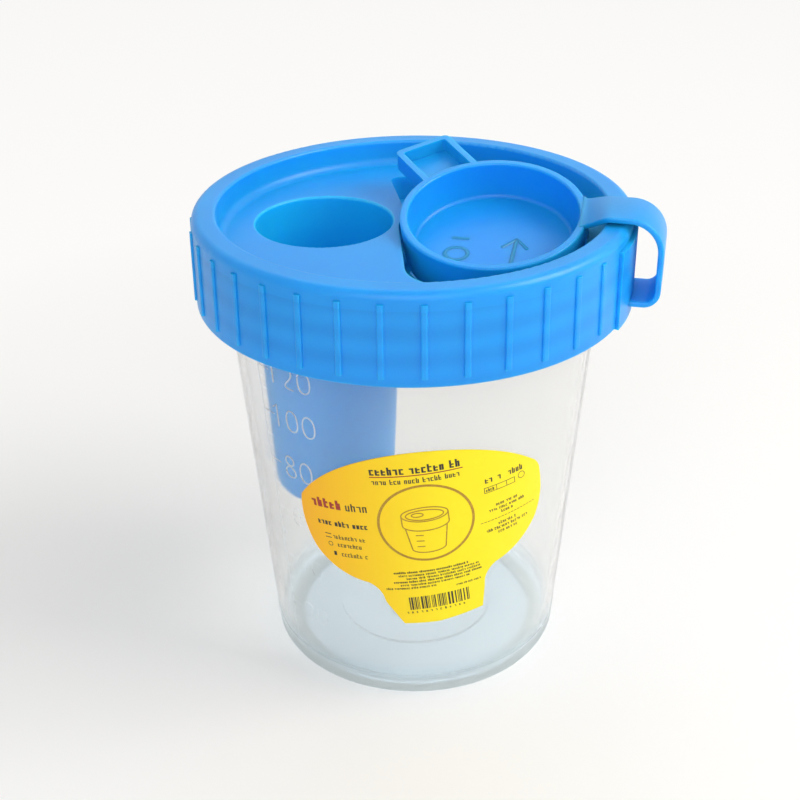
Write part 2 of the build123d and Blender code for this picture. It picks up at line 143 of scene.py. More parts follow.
def helix(builder, radius_at, z_start, pitch, turns, proud, width, outward, per_turn=72):
    """Screw thread ridge that fades out at both ends; outward is 1, or -1 for an inner thread."""
    fade_steps = 8
    sunk, least = 0.2, 0.21     # the root lies this deep in the wall, and the faded ends just clear it
    half_root, half_tip = width / 2, width * 0.22
    total = int(turns * per_turn)
    rings = []
    for k in range(total + 1):
        angle = FULL_TURN * k / per_turn
        z = z_start + pitch * k / per_turn
        fade = min(1.0, k / fade_steps, (total - k) / fade_steps)
        root = radius_at(z) - sunk * outward
        tip = root + (proud * fade + least) * outward
        ca, sa = math.cos(angle), math.sin(angle)
        section = [(root, z - half_root), (tip, z - half_tip), (tip, z + half_tip), (root, z + half_root)]
        if outward < 0:
            section.reverse()
        rings.append([(r * ca, r * sa, h) for r, h in section])
    builder.rings(rings, closed=True, caps=True)


# ---------------------------------------------------------------- materials

def new_material(name):
    material = bpy.data.materials.new(name)
    material.use_nodes = True
    tree = material.node_tree
    return material, tree, tree.nodes["Principled BSDF"]


def put(tree, kind, inputs=None, **settings):
    made = tree.nodes.new(kind)
    for key, value in settings.items():
        setattr(made, key, value)
    for key, value in (inputs or {}).items():
        if isinstance(value, bpy.types.NodeSocket):
            tree.links.new(value, made.inputs[key])
        else:
            made.inputs[key].default_value = value
    return made


def maths(tree, operation, *values):
    return put(tree, "ShaderNodeMath", dict(enumerate(values)), operation=operation).outputs[0]


def blend_colour(tree, factor, a, b):
    colour_a, colour_b, colour_out = 6, 7, 2        # the mix node's sockets for colours
    inputs = {0: factor, colour_a: a, colour_b: b}
    return put(tree, "ShaderNodeMix", inputs, data_type="RGBA").outputs[colour_out]


def mix_shaders(tree, factor, first, second):
    """Sends the mix of two shaders to the material's output."""
    mixed = put(tree, "ShaderNodeMixShader", {0: factor, 1: first.outputs[0], 2: second.outputs[0]})
    tree.links.new(mixed.outputs[0], tree.nodes["Material Output"].inputs["Surface"])


def object_place(tree):
    return put(tree, "ShaderNodeTexCoord").outputs["Object"]


def split(tree, vector):
    return put(tree, "ShaderNodeSeparateXYZ", {"Vector": vector}).outputs


def hypotenuse(tree, x, y):
    squares = (maths(tree, "POWER", side, 2.0) for side in (x, y))
    return maths(tree, "SQRT", maths(tree, "ADD", *squares))


def seen_ray(tree):
    """1 for what is seen directly, in gloss or through clear plastic, and 0 for light on things."""
    ray = put(tree, "ShaderNodeLightPath").outputs
    indirect = maths(tree, "MAXIMUM", ray["Is Glossy Ray"], ray["Is Transmission Ray"])
    return maths(tree, "MAXIMUM", ray["Is Camera Ray"], indirect)


def noise(tree, scale, detail=2.0):
    settings = {"Vector": object_place(tree), "Scale": scale, "Detail": detail}
    return put(tree, "ShaderNodeTexNoise", settings).outputs["Fac"]


def remap(tree, value, from_low, from_high, to_low, to_high):
    ends = {"From Min": from_low, "From Max": from_high, "To Min": to_low, "To Max": to_high}
    return put(tree, "ShaderNodeMapRange", {"Value": value, **ends}).outputs["Result"]


def bump(tree, height, distance, strength=1.0, normal=None):
    made = put(tree, "ShaderNodeBump", {"Height": height, "Distance": distance, "Strength": strength})
    if normal is not None:
        tree.links.new(normal, made.inputs["Normal"])
    return made.outputs["Normal"]


# Where the lid's painted shade and painted light begin and end, in millimetres
SKIRT_FACE, SKIRT_TOP = 33.8, 75.5          # radius and height that bound the skirt's outside
INNER_FLOOR = 63.5                          # painted shade in the hollows only above this height
WELL_LIGHT_RADIUS, WELL_LIGHT_FLOOR = 11.2, 55.0


def lid_plastic():
    """Blue polypropylene, a little translucent, with the thread behind the skirt as painted shade, painted
    shade in the hollows and painted light in the sampling well.
    """
    material, tree, bsdf = new_material("lid_plastic")
    cloud = noise(tree, 60.0)
    cloudy = remap(tree, cloud, 0.35, 0.65, 0.0, 1.0)
    base = blend_colour(tree, cloudy, (0.006, 0.325, 0.86, 1), (0.010, 0.355, 0.93, 1))
    xyz = split(tree, object_place(tree))

    # painted shade of the thread behind the skirt, as darker bands that climb round it
    on_face = maths(tree, "GREATER_THAN", hypotenuse(tree, xyz["X"], xyz["Y"]), SKIRT_FACE * MM)
    on_skirt = maths(tree, "MULTIPLY", on_face, maths(tree, "LESS_THAN", xyz["Z"], SKIRT_TOP * MM))
    climb = maths(tree, "MULTIPLY", xyz["Z"], FULL_TURN / (THREAD_PITCH * MM))
    phase = maths(tree, "SUBTRACT", climb, maths(tree, "ARCTAN2", xyz["Y"], xyz["X"]))
    band = maths(tree, "MULTIPLY_ADD", maths(tree, "SINE", phase), 0.5, 0.5)
    shade = maths(tree, "MULTIPLY", maths(tree, "MULTIPLY", band, on_skirt), 0.42)
    base = blend_colour(tree, shade, base, (0.004, 0.25, 0.72, 1))

    # painted shade: deeper teal in the hollows, less of it between the skirt's ribs
    hollow = put(tree, "ShaderNodeAmbientOcclusion", {"Distance": 0.008}, samples=8).outputs["AO"]
    share = maths(tree, "SUBTRACT", 1.0, maths(tree, "MULTIPLY", on_skirt, 0.8))
    share = maths(tree, "MULTIPLY", share, maths(tree, "GREATER_THAN", xyz["Z"], INNER_FLOOR * MM))
    hollow_shade = maths(tree, "MULTIPLY", remap(tree, hollow, 0.2, 0.9, 0.85, 0.0), share)
    base = blend_colour(tree, hollow_shade, base, (0.001, 0.40, 0.60, 1))

    # painted light that comes through the cup into the sampling well
    from_well = hypotenuse(tree, maths(tree, "ADD", xyz["X"], WELL_OFFSET * MM), xyz["Y"])
    near_axis = maths(tree, "LESS_THAN", from_well, WELL_LIGHT_RADIUS * MM)
    well_light = maths(tree, "MULTIPLY", near_axis, maths(tree, "GREATER_THAN", xyz["Z"], WELL_LIGHT_FLOOR * MM))
    base = blend_colour(tree, maths(tree, "MULTIPLY", well_light, 0.85), base, (0.008, 0.50, 0.98, 1))
    tree.links.new(base, bsdf.inputs["Base Color"])

    gloss = maths(tree, "MULTIPLY_ADD", noise(tree, 120.0), 0.06, 0.33)
    dull_hollow = remap(tree, hollow, 0.2, 0.8, 0.75, 0.30)
    tree.links.new(maths(tree, "MAXIMUM", gloss, dull_hollow), bsdf.inputs["Roughness"])
    grain = bump(tree, noise(tree, 700.0, 1.0), 0.000012, 0.5)
    tree.links.new(bump(tree, cloud, 0.00012, 0.35, grain), bsdf.inputs["Normal"])
    bsdf.inputs["IOR"].default_value = 1.45
    bsdf.inputs["Specular IOR Level"].default_value = 0.5
    bsdf.inputs["Subsurface Weight"].default_value = 0.7
    bsdf.inputs["Subsurface Radius"].default_value = (0.25, 0.8, 1.0)
    bsdf.inputs["Subsurface Scale"].default_value = 0.0028
    return material


def see_through(tree, bsdf, share):
    """Lets most light straight through for shadow rays, as thin clear plastic does."""
    clear = put(tree, "ShaderNodeBsdfTransparent", {"Color": (0.93, 0.95, 0.96, 1)})
    shadow = put(tree, "ShaderNodeLightPath").outputs["Is Shadow Ray"]
    mix_shaders(tree, maths(tree, "MULTIPLY", shadow, share), bsdf, clear)


def cup_plastic():
    """Natural polypropylene: clear with a slight milkiness, cloudier in the thick floor."""
    material, tree, bsdf = new_material("cup_plastic")
    height = split(tree, object_place(tree))["Z"]
    wall = blend_colour(tree, noise(tree, 40.0), (0.955, 0.952, 0.94, 1), (0.975, 0.972, 0.96, 1))
    in_floor = remap(tree, height, 0.0018, 0.0070, 1.0, 0.0)
    base = blend_colour(tree, in_floor, wall, (0.81, 0.895, 0.94, 1))
    tree.links.new(base, bsdf.inputs["Base Color"])
    floor_gloss = remap(tree, height, 0.002, 0.009, 0.36, 0.05)
    wall_gloss = remap(tree, noise(tree, 70.0, 3.0), 0.3, 0.7, 0.05, 0.09)
    tree.links.new(maths(tree, "MAXIMUM", floor_gloss, wall_gloss), bsdf.inputs["Roughness"])
    grain = bump(tree, noise(tree, 260.0), 0.00003, 0.2)
    tree.links.new(bump(tree, noise(tree, 45.0, 1.0), 0.0003, 0.12, grain), bsdf.inputs["Normal"])
    bsdf.inputs["IOR"].default_value = 1.25
    bsdf.inputs["Transmission Weight"].default_value = 0.93
    see_through(tree, bsdf, 0.9)
    return material


def scale_plastic():
    """The raised strokes scatter more light than the wall."""
    material, tree, bsdf = new_material("scale_plastic")
    base = blend_colour(tree, noise(tree, 300.0), (0.84, 0.89, 0.94, 1), (0.93, 0.95, 0.98, 1))
    tree.links.new(base, bsdf.inputs["Base Color"])
    tree.links.new(remap(tree, noise(tree, 500.0), 0.3, 0.7, 0.25, 0.4), bsdf.inputs["Roughness"])
    bsdf.inputs["Transmission Weight"].default_value = 0.72
    bsdf.inputs["IOR"].default_value = 1.2
    see_through(tree, bsdf, 0.7)
    return material


def label_paper():
    """Yellow print on coated paper, warmer toward the left, partly its own tone and partly painted shade, with
    a plain back.
    """
    material, tree, bsdf = new_material("label_paper")
    place = object_place(tree)
    # orange toward the left: partly the print's own tone and partly painted shade on the side away from the key
    # lamp
    across = remap(tree, split(tree, place)["X"], -0.012, 0.010, 0.0, 1.0)
    base = blend_colour(tree, across, (1.0, 0.47, 0.010, 1), (0.98, 0.80, 0.012, 1))
    fibre = noise(tree, 700.0, 4.0)
    base = blend_colour(tree, remap(tree, fibre, 0.3, 0.7, 0.0, 0.12), base, (0.9, 0.62, 0.02, 1))
    facing = put(tree, "ShaderNodeNewGeometry").outputs["Normal"]
    product = put(tree, "ShaderNodeVectorMath", {0: place, 1: facing}, operation="DOT_PRODUCT")
    on_back = maths(tree, "LESS_THAN", product.outputs["Value"], 0.0)
    base = blend_colour(tree, on_back, base, (0.90, 0.86, 0.72, 1))
    tree.links.new(base, bsdf.inputs["Base Color"])
    tree.links.new(remap(tree, fibre, 0.3, 0.7, 0.36, 0.5), bsdf.inputs["Roughness"])
    tree.links.new(bump(tree, fibre, 0.00001, 0.5), bsdf.inputs["Normal"])
    bsdf.inputs["Specular IOR Level"].default_value = 0.3
    return material


def ink(name, colour, paler):
    """Print that is paler where it has worn thin."""
    material, tree, bsdf = new_material(name)
    worn = remap(tree, noise(tree, 2500.0, 3.0), 0.45, 0.75, 0.0, 1.0)
    tree.links.new(blend_colour(tree, worn, colour, paler), bsdf.inputs["Base Color"])
    tree.links.new(remap(tree, noise(tree, 900.0), 0.3, 0.7, 0.4, 0.55), bsdf.inputs["Roughness"])
    return material


def steel():
    """Drawn tube, with fine lines along its length."""
    material, tree, bsdf = new_material("needle_steel")
    stretch = {"Vector": object_place(tree), "Scale": (1.0, 1.0, 0.05)}
    along = put(tree, "ShaderNodeMapping", stretch).outputs[0]
    lines = {"Vector": along, "Scale": 9000.0, "Detail": 3.0}
    drawn = put(tree, "ShaderNodeTexNoise", lines).outputs["Fac"]
    tree.links.new(remap(tree, drawn, 0.3, 0.7, 0.18, 0.36), bsdf.inputs["Roughness"])
    base = blend_colour(tree, drawn, (0.62, 0.63, 0.65, 1), (0.78, 0.79, 0.80, 1))
    tree.links.new(base, bsdf.inputs["Base Color"])
    bsdf.inputs["Metallic"].default_value = 1.0
    return material


def sleeve_rubber():
    """Pale latex with a dusted face."""
    material, tree, bsdf = new_material("sleeve_rubber")
    dust = noise(tree, 1200.0, 4.0)
    base = blend_colour(tree, dust, (0.60, 0.56, 0.47, 1), (0.74, 0.70, 0.60, 1))
    tree.links.new(base, bsdf.inputs["Base Color"])
    tree.links.new(remap(tree, dust, 0.3, 0.7, 0.55, 0.75), bsdf.inputs["Roughness"])
    tree.links.new(bump(tree, dust, 0.00003, 0.6), bsdf.inputs["Normal"])
    bsdf.inputs["Subsurface Weight"].default_value = 0.15
    bsdf.inputs["Subsurface Scale"].default_value = 0.001
    return material


LID = lid_plastic()
CUP = cup_plastic()
SCALE = scale_plastic()
PAPER = label_paper()
STEEL = steel()
RUBBER = sleeve_rubber()
BLACK = ink("ink_black", (0.018, 0.014, 0.010, 1), (0.10, 0.07, 0.02, 1))
RED = ink("ink_red", (0.34, 0.020, 0.010, 1), (0.45, 0.07, 0.02, 1))
BROWN = ink("ink_brown", (0.42, 0.22, 0.012, 1), (0.55, 0.33, 0.02, 1))
NODE_MATERIALS = {
    "cup": CUP, "lid": LID, "cap": LID, "tether_leg": LID, "tether_arm": LID,
    "needle": STEEL, "needle_sleeve": RUBBER, "label": PAPER,
}
for name, material in NODE_MATERIALS.items():
    for material_slot in nodes[name].material_slots:
        material_slot.material = material


# ---------------------------------------------------------------- label and its print

def on_label(u, v, lift):
    """Point over the cup for a place on the flat label, u to the right and v up."""
    middle = cup_radius(LABEL_Z)
    x = middle * math.sin(u / middle)
    across = x * math.cos(LABEL_TURN) - v * math.sin(LABEL_TURN)
    up = x * math.sin(LABEL_TURN) + v * math.cos(LABEL_TURN)
    z = LABEL_Z + up
    radius = cup_radius(z)
    angle = LABEL_DIRECTION + math.asin(across / radius)
    return ((radius + lift) * math.cos(angle), (radius + lift) * math.sin(angle), z)


def label_edges(right):
    """Upper and lower edge of one half of the label, as rows of (u, v) from its middle to its side."""
    top, bottom = (0, 13.2), (0, -20.5)
    low_side, hip, waist, neck, tail = (18.7, -6.2), (15.0, -9.6), (10.4, -11.5), (8.8, -12.9), (8.1, -15.2)
    if right:
        shoulder, side, foot = (19.0, 5.7), (20.5, 2.2), (7.3, -19.8)
        edge = arc3(shoulder, (20.2, 4.2), side, 12) + arc3(side, (20.3, -2.0), low_side, 20)[1:]
    else:
        shoulder, foot = (20.0, 3.8), (5.6, -20.1)
        edge = arc3(shoulder, (20.4, -0.6), low_side, 24)
    half_crown = 40
    crown = arc3((-shoulder[0], shoulder[1]), top, shoulder, 2 * half_crown)[half_crown:]
    widest = max(range(len(edge)), key=lambda k: edge[k][0])
    upper = crown + edge[1 : widest + 1]
    flank = arc3(low_side, hip, waist, 24)[1:] + arc3(waist, neck, tail, 12)[1:]
    lower = edge[widest:] + flank + [foot, bottom]
    return upper, lower[::-1]


def height_at(row, u):
    """Height of an edge, a row of (u, v), at u."""
    for (u0, v0), (u1, v1) in zip(row, row[1:]):
        if u0 <= u <= u1 and u1 > u0:
            return v0 + (v1 - v0) * (u - u0) / (u1 - u0)
    return row[-1][1]


def label_columns(halves):
    """Places along u where the sheet has a column: each point of its edges, and every half millimetre."""
    spacing, reach, least_gap, beyond = 0.5, 20.0, 0.02, 99
    even = {spacing * k for k in range(round(reach / spacing) + 1)}
    columns = []
    for right, sign in ((False, -1), (True, 1)):
        edge_points = {round(p[0], 4) for row in halves[right] for p in row}
        found = sorted(edge_points | even)
        found = [u for u, following in zip(found, found[1:] + [beyond]) if following - u > least_gap]
        columns += [sign * u for u in (found if right else found[:0:-1])]
    return columns


def label_sheet():
    """The label as one thin sheet that follows the cup's cone."""
    rows = 44
    halves = {right: label_edges(right) for right in (False, True)}
    loops = []
    for u in label_columns(halves):
        top, bottom = (height_at(row, abs(u)) for row in halves[u > 0])
        line = [(u, bottom + (top - bottom) * k / rows) for k in range(rows + 1)]
        front = [on_label(*p, LABEL_FACE) for p in line]
        back = [on_label(*p, LABEL_BACK) for p in line]
        loops.append(front + back[::-1])
    sheet = Builder()
    sheet.rings(loops)
    size = len(loops[0])
    for column in (0, len(loops) - 1):
        for k in range(rows):
            a, b = column * size + k, column * size + k + 1
            c, d = column * size + size - 2 - k, column * size + size - 1 - k
            sheet.faces.append([a, b, c, d] if column else [d, c, b, a])
    made = sheet.piece("label_sheet", PAPER, "cup", "label_paper")
    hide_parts("label")


class Print(Builder):
    """Ink marks on the label's face, in the label's own (u, v)."""

    STRIDE = 0.8                # longest straight piece of a bar on the curved wall
    TURN_STEP = 6.0             # degrees between the points of an ellipse
    BOLDER = 1.3                # filler strokes against their given weight
    CELL, MARK, GAP = 0.62, 0.74, 0.7       # cell over height; mark and word gap over cell
    LOW, BEAM, THIN = 0.72, 0.36, 0.8       # low mark and middle bar over height; level bar over weight

    def line(self, points, width):
        rows = []
        for k, (u, v) in enumerate(points):
            before, after = neighbours(points, k)
            du, dv = after[0] - before[0], after[1] - before[1]
            length = math.hypot(du, dv) or 1.0
            nu, nv = -dv / length * width / 2, du / length * width / 2
            rows.append([on_label(u + side * nu, v + side * nv, LABEL_FACE + INK) for side in (-1, 1)])
        self.rings(rows, closed=False)

    def bar(self, u0, v0, u1, v1):
        steps = max(1, round((u1 - u0) / self.STRIDE))
        middle = (v0 + v1) / 2
        self.line([(u0 + (u1 - u0) * k / steps, middle) for k in range(steps + 1)], v1 - v0)

    def ellipse(self, u, v, ru, rv, width, start=0.0, end=360.0):
        steps = max(12, round(abs(end - start) / self.TURN_STEP))
        angles = [math.radians(start + (end - start) * k / steps) for k in range(steps + 1)]
        self.line([(u + ru * math.cos(a), v + rv * math.sin(a)) for a in angles], width)

    def filler_mark(self, u, v, kind, height, tall, weight):
        """One of five small marks of bars, none of them a letter."""
        right, low, thin = u + height * self.CELL * self.MARK, height * self.LOW, weight * self.THIN
        if kind != 3:
            self.bar(u, v, u + weight, v + height * tall)
        if kind in (0, 2, 3):
            self.bar(right - weight, v, right, v + low)
        if kind in (1, 2, 4):
            self.bar(u, v, right, v + thin)
        if kind in (0, 1, 3):
            self.bar(u, v + low - thin, right, v + low)
        if kind == 4:
            self.bar(u, v + height * self.BEAM, right, v + height * self.BEAM + thin)

    def filler_text(self, u0, u1, v, height, weight, seed, words=(3, 7)):
        """Row of small marks that stands for print, from u0 to u1, with its foot at v.

        height and weight are those of a mark, seed picks the marks, and words holds the fewest and the
        most marks to a word.
        """
        draw = random.Random(seed)
        cell = height * self.CELL
        needed = cell * 0.8
        u = u0
        while u < u1 - needed:
            for _ in range(draw.randint(*words)):
                if u + needed > u1:
                    break
                tall = 1.0 if draw.random() < 0.25 else self.LOW
                self.filler_mark(u, v, draw.randrange(5), height, tall, weight * self.BOLDER)
                u += cell
            u += cell * self.GAP


def title_print(black, red):
    """Two rows with a red rule between them."""
    black.filler_text(-7.1, 6.9, 9.45, 1.45, 0.24, 3, (5, 8))
    red.bar(-7.2, 9.02, 6.9, 9.2)
    black.filler_text(-7.0, 6.8, 7.7, 0.95, 0.13, 4)


def left_print(black, red):
    """Heading and short rows, each with its small sign."""
    red.filler_text(-18.0, -12.2, 2.35, 1.75, 0.36, 8, (9, 9))
    black.filler_text(-12.0, -8.3, 2.35, 1.5, 0.18, 9, (5, 5))
    black.filler_text(-17.5, -8.6, -0.95, 1.05, 0.2, 10, (4, 7))
    for v, u0, seed in ((-3.45, -15.2, 11), (-4.95, -14.6, 12), (-6.8, -14.2, 13)):
        black.filler_text(u0, -9.6, v, 0.85, 0.11, seed, (5, 8))
    black.ellipse(-15.9, -4.6, 0.38, 0.38, 0.1)
    for v in (-3.45, -2.75):
        black.bar(-16.6, v, -15.5, v + 0.15)
    black.bar(-15.6, -6.8, -15.1, -6.0)


def right_print(black):
    """Two groups of rows with a dotted rule between them, and a row of boxes above."""
    row_height, row_weight, row_step = 0.62, 0.09, 0.85
    for k, (u0, u1) in enumerate(((11.5, 15.5), (10.2, 16.7), (12.3, 14.5))):
        black.filler_text(u0, u1, -0.25 - row_step * k, row_height, row_weight, 20 + k)
    rule_start, dash, dash_pitch = 8.6, 0.45, 0.6
    for u in (rule_start + dash_pitch * k for k in range(17)):
        black.bar(u, -2.82, u + dash, -2.72)
    for k, (u0, u1) in enumerate(((11.6, 15.0), (9.4, 17.3), (11.4, 15.3))):
        black.filler_text(u0, u1, -4.15 - row_step * k, row_height, row_weight, 30 + k)
    for u, wide in ((10.1, 1.6), (12.3, 1.2), (14.2, 2.8)):
        black.filler_text(u, u + wide, 4.75, 1.15, 0.17, int(u * 10), (2, 4))
    frame_width, box_low, box_high = 0.1, 2.85, 3.85
    for v in (box_low, box_high):
        black.bar(9.8, v, 15.3, v + frame_width)
    for u in (9.8, 11.9, 13.7, 15.2):
        black.bar(u, box_low, u + frame_width, box_high + frame_width)
    black.filler_text(10.1, 11.8, 3.1, 0.6, 0.1, 40, (4, 4))
    black.ellipse(16.6, 3.7, 0.62, 0.62, frame_width)


def foot_print(black):
    """Small print below the picture, and a row of bars that codes nothing, with marks under it."""
    rows = ((-6.0, 5.9), (-5.3, 7.6), (-4.1, 8.0), (-6.2, 8.0), (-5.2, 5.9), (-7.6, 0.5))
    top_row, row_step, light, bold = -9.75, 0.64, 0.08, 0.11
    for k, (u0, u1) in enumerate(rows):
        black.filler_text(u0, u1, top_row - row_step * k, 0.45, light if k % 3 else bold, 50 + k, (4, 9))
    black.filler_text(3.5, 7.7, -13.75, 0.42, 0.07, 60, (2, 5))
    draw = random.Random(7)
    u, bars_end, bars_low, bars_high = -4.3, 5.4, -17.35, -14.7
    while u < bars_end:
        thick = draw.choice((0.1, 0.1, 0.2, 0.3))
        black.bar(u, bars_low, u + thick, bars_high)
        u += thick + draw.choice((0.12, 0.12, 0.22, 0.3))
    marks_start, mark, mark_pitch = -4.9, 0.6, 0.76
    for k in range(13):
        u = marks_start + mark_pitch * k
        black.filler_text(u, u + mark, -18.1, 0.55, 0.08, 70 + k, (1, 1))


def label_print():
    black, red, brown = Print(), Print(), Print()
    title_print(black, red)
    left_print(black, red)
    right_print(black)
    foot_print(black)
    cup_icon(brown)
    black.piece("label_print_black", BLACK, "cup", "label_paper")
    red.piece("label_print_red", RED, "cup", "label_paper")
    brown.piece("label_print_brown", BROWN, "cup", "label_paper")


def cup_icon(brown):
    """Ring round a line drawing of a lidded cup."""
    thin, middle = 0.2, 0.2
    lid_top, lid_foot, cup_top, cup_foot = 1.6, -0.2, -0.9, -4.9
    lid_half, wall_top, wall_foot = 3.6, 3.2, 2.6
    brown.ellipse(0.3, -0.15, 7.35, 7.2, 0.42)
    brown.ellipse(middle, lid_top, lid_half, 1.35, thin)
    brown.ellipse(middle, 1.5, 2.9, 0.95, thin)
    for side in (-1, 1):
        edge = middle + side * lid_half
        brown.line([(edge, lid_top), (edge, lid_foot)], thin)
    brown.ellipse(middle, lid_foot, lid_half, 1.35, thin, 180.0, 360.0)
    for side in (-1, 1):
        brown.line([(middle + side * wall_top, cup_top), (middle + side * wall_foot, cup_foot)], thin)
    brown.ellipse(middle, cup_foot, wall_foot, 0.95, thin, 180.0, 360.0)
    brown.ellipse(-0.9, lid_top, 0.9, 0.36, thin)
    for v in (-2.2, -3.3, -4.4):
        brown.line([(-1.6, v - 0.1), (-0.4, v - 0.22)], thin)


label_sheet()
label_print()


# ---------------------------------------------------------------- graduations

# One stroke each, across 0 to 1 and up 0 to 1
DIGITS = {
    "0": [(0.5, 1.0), (0.12, 0.86), (0.02, 0.5), (0.12, 0.14), (0.5, 0.0), (0.88, 0.14), (0.98, 0.5),
          (0.88, 0.86), (0.5, 1.0)],
    "1": [(0.2, 0.8), (0.55, 1.0), (0.55, 0.0)],
    "2": [(0.05, 0.78), (0.2, 0.95), (0.5, 1.0), (0.82, 0.92), (0.92, 0.72), (0.8, 0.48), (0.05, 0.0),
          (0.98, 0.0)],
    "4": [(0.72, 0.0), (0.72, 1.0), (0.04, 0.3), (0.98, 0.3)],
    "6": [(0.85, 0.92), (0.5, 1.0), (0.16, 0.82), (0.04, 0.4), (0.14, 0.1), (0.5, 0.0), (0.86, 0.1),
          (0.95, 0.32), (0.84, 0.54), (0.5, 0.62), (0.16, 0.52), (0.05, 0.36)],
    "8": [(0.5, 0.54), (0.2, 0.64), (0.12, 0.8), (0.24, 0.95), (0.5, 1.0), (0.76, 0.95), (0.88, 0.8),
          (0.8, 0.64), (0.5, 0.54), (0.14, 0.42), (0.04, 0.24), (0.16, 0.06), (0.5, 0.0), (0.84, 0.06),
          (0.96, 0.24), (0.86, 0.42), (0.5, 0.54)],
}
STRAIGHT_DIGITS = "14"
DIGIT_WIDTH, DIGIT_PITCH = 0.62, 1.32       # over a digit's height, and over its width


def rounded_path(points, steps=4):
    """Smooth path: a quadratic spline through the middles of the runs, which turns at the points."""
    closed = points[0] == points[-1]
    ring = points[:-1] if closed else points
    out = []
    count = len(ring)
    for k in range(count if closed else count - 2):
        a, b, c = ring[k % count], ring[(k + 1) % count], ring[(k + 2) % count]
        start = ((a[0] + b[0]) / 2, (a[1] + b[1]) / 2)
        end = ((b[0] + c[0]) / 2, (b[1] + c[1]) / 2)
        if not closed and k == 0:
            start = a
        if not closed and k == count - 3:
            end = c
        for s in range(steps + 1):
            t = s / steps
            out.append(tuple((1 - t) ** 2 * start[i] + 2 * t * (1 - t) * b[i] + t * t * end[i] for i in (0, 1)))
    return out


def on_cup(angle, z):
    radius = cup_radius(z)
    return Vector((radius * math.cos(angle), radius * math.sin(angle), z))


def stroke(builder, points, bead):
    """Raised line on the cup through points (angle, z), bead to either side."""
    profile = ((-1, -0.3), (-0.6, 0.75), (0.6, 0.75), (1, -0.3))
    rings = []
    for k, (angle, z) in enumerate(points):
        here = on_cup(angle, z)
        before, after = (on_cup(*point) for point in neighbours(points, k))
        ahead = (after - before).normalized()
        out = Vector((math.cos(angle), math.sin(angle), -CUP_SLOPE)).normalized()
        side = ahead.cross(out).normalized()
        rings.append([tuple(here + side * s * bead + out * h * bead) for s, h in profile])
    builder.rings(rings, caps=True)


def number(builder, text, middle_angle, z, height, bead):
    """Digits side by side round middle_angle, standing on z."""
    width = height * DIGIT_WIDTH
    pitch = width * DIGIT_PITCH
    for k, digit in enumerate(text):
        left = (k - (len(text) - 1) / 2) * pitch - width / 2
        path = DIGITS[digit] if digit in STRAIGHT_DIGITS else rounded_path(DIGITS[digit])
        on_wall = [(middle_angle + (left + x * width) / cup_radius(z), z + y * height) for x, y in path]
        stroke(builder, on_wall, bead)


MARKS = {120: 57.5, 100: 49.6, 80: 40.6, 60: 31.2, 40: 21.6, 20: 11.4}      # millilitres: foot of the number
BOLD_MARKS = (120, 100, 80)                 # these show against the well, and the others hardly show
BOLD, FAINT = (4.0, 0.13, 0.07), (3.6, 0.025, 0.02)     # number's height and bead, and its line's bead


def graduations():
    """Raised numbers and lines of the millilitre scale."""
    scale = Builder()
    numbers_angle, stem_angle = math.radians(-117.5), math.radians(-131.0)
    fine, tick_step, mid_height = 0.03, math.radians(0.55), 1.9
    stem_foot, stem_step, stem_points = 4.5, 1.2, 48
    scale_foot, scale_top = 4.0, 62.0
    for value, z in MARKS.items():
        height, number_bead, line_bead = BOLD if value in BOLD_MARKS else FAINT
        number(scale, str(value), numbers_angle, z, height, number_bead)
        stroke(scale, [(stem_angle + tick_step * k, z + mid_height) for k in range(11)], line_bead)
    heights = sorted(MARKS.values())
    for low, high in zip([scale_foot] + heights, heights + [scale_top]):
        for quarter in (1, 2, 3):
            z = low + mid_height + (high - low) * quarter / 4
            points = 7 if quarter == 2 else 4
            stroke(scale, [(stem_angle + tick_step * k, z) for k in range(points)], fine)
    stroke(scale, [(stem_angle, stem_foot + stem_step * k) for k in range(stem_points)], fine)
    scale.piece("graduations", SCALE, "cup", "cup_plastic")


graduations()


# ---------------------------------------------------------------- threads

def skirt_bore(z):
    return LID_RADIUS + (LID_TOP - z) * LID_SLOPE - SKIRT_WALL


def threads():
    """Thread on the cup's neck, and half a pitch above it the lid's."""
    foot, width = 65.6, 1.9
    cup_thread = Builder()
    helix(cup_thread, cup_radius, foot, THREAD_PITCH, 1.5, 1.25, width, 1)
    cup_thread.piece("cup_thread", CUP, "cup", "cup_plastic")
    lid_thread = Builder()
    helix(lid_thread, skirt_bore, foot + THREAD_PITCH / 2, THREAD_PITCH, 1.3, 1.15, width, -1)
    lid_thread.piece("lid_thread", LID, "lid", "lid_plastic")


threads()


# ---------------------------------------------------------------- tether, one strap from the lid to the cap

STRAP_THICK, STRAP_WIDE, STRAP_EDGE = 0.9, 9.4, 0.28
STRAP_LEVEL_END = 31.0                      # the strap runs level over the rim as far as this x
STRAP_TIP_X, STRAP_TIP_Y = 26.2, 1.6        # where it meets the cap's wall


def ease(t):
    return t * t * (3 - 2 * t)


def bend(x, z, radius, first, step, count):
    """Points of a round bend about (x, z), every step degrees."""
    angles = [math.radians(first + step * k) for k in range(count)]
    return [(x + radius * math.cos(a), z + radius * math.sin(a)) for a in angles]


